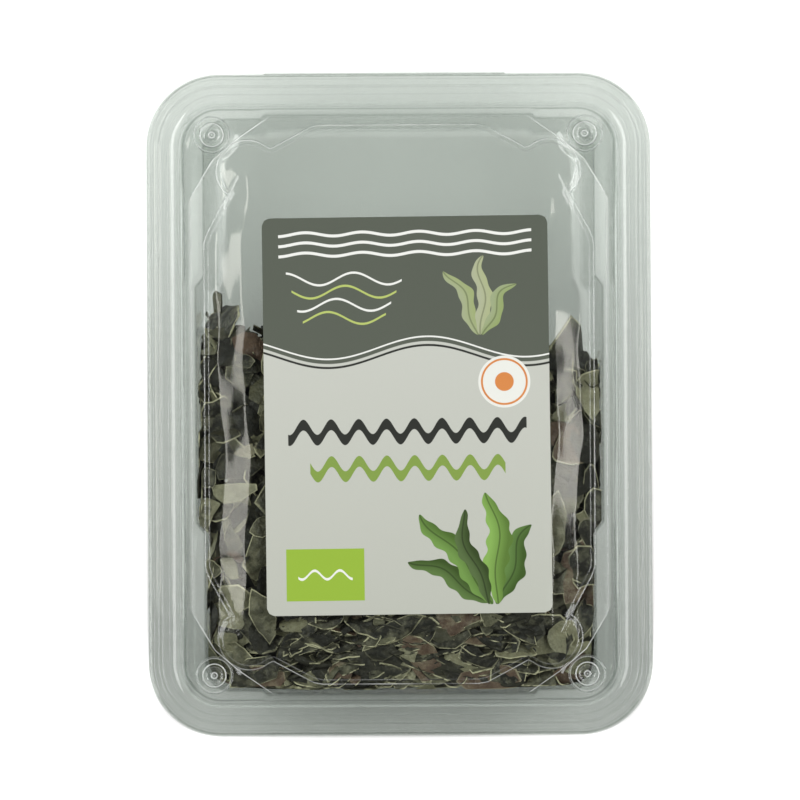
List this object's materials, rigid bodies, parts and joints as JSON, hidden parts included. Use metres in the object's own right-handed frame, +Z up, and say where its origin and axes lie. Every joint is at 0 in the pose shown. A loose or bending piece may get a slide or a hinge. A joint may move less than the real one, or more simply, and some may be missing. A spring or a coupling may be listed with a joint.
{
  "type": "box of dried kombu flakes",
  "caption": "Clear hinged food box lying on its back, label on the lid, filled a little over half with thin broken flakes of dried kombu seaweed",
  "frame": {"origin": "under the middle of the box, on the surface that it lies on", "axes": "+X across the box to the right of the label, +Y along it towards the hinge and the label's top, +Z up out of the label"},
  "size_m": [0.1404, 0.185, 0.0391],
  "materials": {
    "clear_sheet": "clear thermoformed sheet with a faint grey-green tint, high gloss",
    "label_paper": "printed paper label, pale grey-green with a dark header, satin",
    "kombu_dark": "dried kelp, dark grey-green, dull with a pale bloom",
    "kombu_pale": "dried kelp, grey olive, dull",
    "kombu_brown": "dried kelp, red-brown, dull"
  },
  "bodies": {
    "tray_body": {"tray": "clear_sheet", "kombu_heap": "kombu_dark", "kombu_flake_pale_1": "kombu_pale", "kombu_flake_pale_2": "kombu_pale", "kombu_flake_pale_3": "kombu_pale", "kombu_flake_pale_4": "kombu_pale", "kombu_flake_brown_1": "kombu_brown", "kombu_flake_brown_2": "kombu_brown", "kombu_flake_brown_3": "kombu_brown", "kombu_flake_brown_4": "kombu_brown"},
    "lid_body": {"lid": "clear_sheet", "label": "label_paper"}
  },
  "joints": [
    {"name": "lid_hinge", "type": "hinge", "parent": "tray_body", "child": "lid_body", "pos_m": [0, 0.09205, 0.03225], "axis": [-1, 0, 0], "range_deg": [0, 180]}
  ]
}
